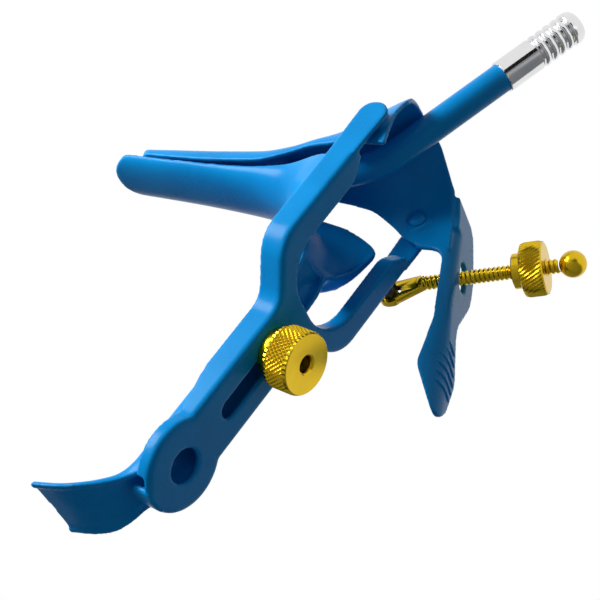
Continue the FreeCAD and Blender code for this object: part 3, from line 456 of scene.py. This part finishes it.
def adjusting_rod():
    """Threaded rod that ends in the flattened eye taken from the solid."""
    bm = bmesh.new()
    bm.from_mesh(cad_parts["adjusting_rod"].data)
    bmesh.ops.remove_doubles(bm, verts=bm.verts, dist=1e-6)
    bmesh.ops.bisect_plane(bm, geom=bm.verts[:] + bm.edges[:] + bm.faces[:], plane_co=on_rod(1.2),
                           plane_no=ROD_ALONG, clear_outer=True)
    thread = bmesh.new()
    helix(thread, [(1.95, 0), (2.05, 0.2), (2.36, 0.5), (2.4, 0.68), (2.36, 0.86), (2.05, 1.2),
                   (1.95, 1.5)], 30)
    bmesh.ops.remove_doubles(thread, verts=thread.verts, dist=1e-6)
    bmesh.ops.transform(thread, matrix=along(on_rod(-0.6), ROD_ALONG), verts=thread.verts)
    wound = bpy.data.meshes.new("wound")
    thread.to_mesh(wound)
    thread.free()
    bm.from_mesh(wound)
    bpy.data.meshes.remove(wound)
    return new_piece("adjusting_rod_threaded", bm, "rod", "gold", GILT, "adjusting_rod", angle=40)


def rod_ball():
    """Ball end."""
    bm = bmesh.new()
    bmesh.ops.create_uvsphere(bm, u_segments=64, v_segments=32, radius=4.35 * MM)
    bmesh.ops.transform(bm, matrix=along(on_rod(ROD_LENGTH), ROD_ALONG), verts=bm.verts)
    return new_piece("rod_ball_skin", bm, "rod", "gold", GILT, "rod_ball", angle=0)


def rounded_copy(node, body, slot, material):
    """A node with its edges softened."""
    bm = bmesh.new()
    bm.from_mesh(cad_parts[node].data)
    bmesh.ops.remove_doubles(bm, verts=bm.verts, dist=1e-6)
    bmesh.ops.dissolve_limit(bm, angle_limit=math.radians(1), verts=bm.verts, edges=bm.edges)
    piece = new_piece(node + "_skin", bm, body, slot, material, node)
    soften = piece.modifiers.new("soften", "BEVEL")
    soften.width = PIN_EDGE * MM
    soften.segments = 2
    soften.limit_method = "ANGLE"
    soften.angle_limit = math.radians(50)
    apply_modifiers(piece)
    return piece


coated_sheet("handle", 8, "lower_blade", least=LEAST_SHEET)
coated_sheet("frame", 16, "yoke", "hinge_rivet_left", "hinge_rivet_right")
coated_sheet("blade", 12, "upper_blade")
thumb_ridges()
smoke_tube()
hose_nozzle()
clamp_nut()
rod_nut()
adjusting_rod()
rod_ball()
rounded_copy("clamp_stud", "handle", "dark_steel", DARK_STEEL)
rounded_copy("rod_pivot_pin", "frame", "dark_steel", DARK_STEEL)


# Stage, lamps and camera

def pale_floor():
    """Pale floor below the handle, seen only from above."""
    low = min(corner.z for corner in [Vector(point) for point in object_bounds()])
    bm = bmesh.new()
    bmesh.ops.create_grid(bm, x_segments=1, y_segments=1, size=1.5)
    bmesh.ops.translate(bm, verts=bm.verts, vec=(0, 0, low - 0.0005))
    mesh = bpy.data.meshes.new("floor")
    bm.to_mesh(mesh)
    bm.free()
    floor = bpy.data.objects.new("floor", mesh)
    bpy.context.scene.collection.objects.link(floor)
    material = bpy.data.materials.new("pale_floor")
    material.use_nodes = True
    nodes = material.node_tree.nodes
    links = material.node_tree.links
    shader = nodes["Principled BSDF"]
    shader.inputs["Base Color"].default_value = (0.86, 0.86, 0.86, 1)
    shader.inputs["Roughness"].default_value = 0.9
    clear = nodes.new("ShaderNodeBsdfTransparent")
    side = nodes.new("ShaderNodeNewGeometry")
    mix = nodes.new("ShaderNodeMixShader")
    links.new(side.outputs["Backfacing"], mix.inputs["Fac"])
    links.new(shader.outputs["BSDF"], mix.inputs[1])
    links.new(clear.outputs["BSDF"], mix.inputs[2])
    links.new(mix.outputs["Shader"], nodes["Material Output"].inputs["Surface"])
    mesh.materials.append(material)
    floor.visible_diffuse = False
    floor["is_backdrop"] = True


def dark_card(name, at, towards, size):
    """Dark studio card that only shows in reflections."""
    bm = bmesh.new()
    bmesh.ops.create_grid(bm, x_segments=1, y_segments=1, size=size)
    bmesh.ops.transform(bm, matrix=along(at, towards - at), verts=bm.verts)
    mesh = bpy.data.meshes.new(name)
    bm.to_mesh(mesh)
    bm.free()
    card = bpy.data.objects.new(name, mesh)
    bpy.context.scene.collection.objects.link(card)
    material = bpy.data.materials.new(name)
    material.use_nodes = True
    shader = material.node_tree.nodes["Principled BSDF"]
    shader.inputs["Base Color"].default_value = (0.004, 0.004, 0.004, 1)
    shader.inputs["Roughness"].default_value = 1.0
    mesh.materials.append(material)
    card.visible_camera = False
    card.visible_diffuse = False
    card.visible_shadow = False
    card.visible_transmission = False
    card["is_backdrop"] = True


def lamp(name, at, towards, size, power):
    """Soft square lamp."""
    data = bpy.data.lights.new(name, "AREA")
    data.size = size
    data.energy = power
    light = bpy.data.objects.new(name, data)
    light.location = at
    light.rotation_euler = (towards - at).to_track_quat("-Z", "Y").to_euler()
    bpy.context.scene.collection.objects.link(light)


def white_world():
    """White where it is seen, mirrored or seen through, and dim for diffuse light."""
    world = bpy.data.worlds.new("studio")
    bpy.context.scene.world = world
    world.use_nodes = True
    nodes = world.node_tree.nodes
    links = world.node_tree.links
    nodes.clear()
    path = nodes.new("ShaderNodeLightPath")
    seen = nodes.new("ShaderNodeMath")
    seen.operation = "MAXIMUM"
    through = nodes.new("ShaderNodeMath")
    through.operation = "MAXIMUM"
    links.new(path.outputs["Is Camera Ray"], seen.inputs[0])
    links.new(path.outputs["Is Glossy Ray"], seen.inputs[1])
    links.new(seen.outputs[0], through.inputs[0])
    links.new(path.outputs["Is Transmission Ray"], through.inputs[1])
    dim = nodes.new("ShaderNodeBackground")
    dim.inputs["Color"].default_value = (0.85, 0.93, 1.0, 1)
    dim.inputs["Strength"].default_value = 0.17
    white = nodes.new("ShaderNodeBackground")
    white.inputs["Color"].default_value = (1, 1, 1, 1)
    white.inputs["Strength"].default_value = 1.0
    mix = nodes.new("ShaderNodeMixShader")
    out = nodes.new("ShaderNodeOutputWorld")
    links.new(through.outputs[0], mix.inputs["Fac"])
    links.new(dim.outputs[0], mix.inputs[1])
    links.new(white.outputs[0], mix.inputs[2])
    links.new(mix.outputs[0], out.inputs["Surface"])


def photo_camera():
    """Camera below, behind and to the left of the object, as in the photograph."""
    data = bpy.data.cameras.new("camera")
    data.sensor_width = 36
    data.lens = 88.8
    camera = bpy.data.objects.new("camera", data)
    right = Vector((0.3365, -0.8659, 0.3702)).normalized()
    forward = Vector((0.6999, 0.4930, 0.5168))
    forward = (forward - right * forward.dot(right)).normalized()
    up = right.cross(forward)
    turn = Matrix((right, up, -forward)).transposed().to_4x4()
    camera.matrix_world = Matrix.Translation((-0.3119, -0.2307, -0.2131)) @ turn
    bpy.context.scene.collection.objects.link(camera)
    bpy.context.scene.camera = camera
    return right, up, forward


VIEW_RIGHT, VIEW_UP, VIEW_AWAY = photo_camera()
MIDDLE = Vector((0, -0.01, 0.03))
pale_floor()
white_world()
key_at = MIDDLE + (-VIEW_RIGHT * 0.8 + VIEW_UP * 0.6 - VIEW_AWAY * 0.12).normalized() * 0.7
lamp("key", key_at, MIDDLE, 0.35, 6.5)
side_at = MIDDLE + Vector((-0.75, 0.25, -0.6)).normalized() * 0.8
lamp("side", side_at, MIDDLE, 0.35, 4.5)
fill_at = MIDDLE + (VIEW_RIGHT * 0.5 + VIEW_UP * 0.1 - VIEW_AWAY * 0.8).normalized() * 0.9
lamp("fill", fill_at, MIDDLE, 0.5, 0.2)
dark_card("camera_side_card", MIDDLE - VIEW_AWAY * 1.2, MIDDLE, 0.9)
dark_card("low_card", MIDDLE - VIEW_UP * 1.2, MIDDLE, 1.0)
bpy.context.scene.view_settings.view_transform = "Standard"
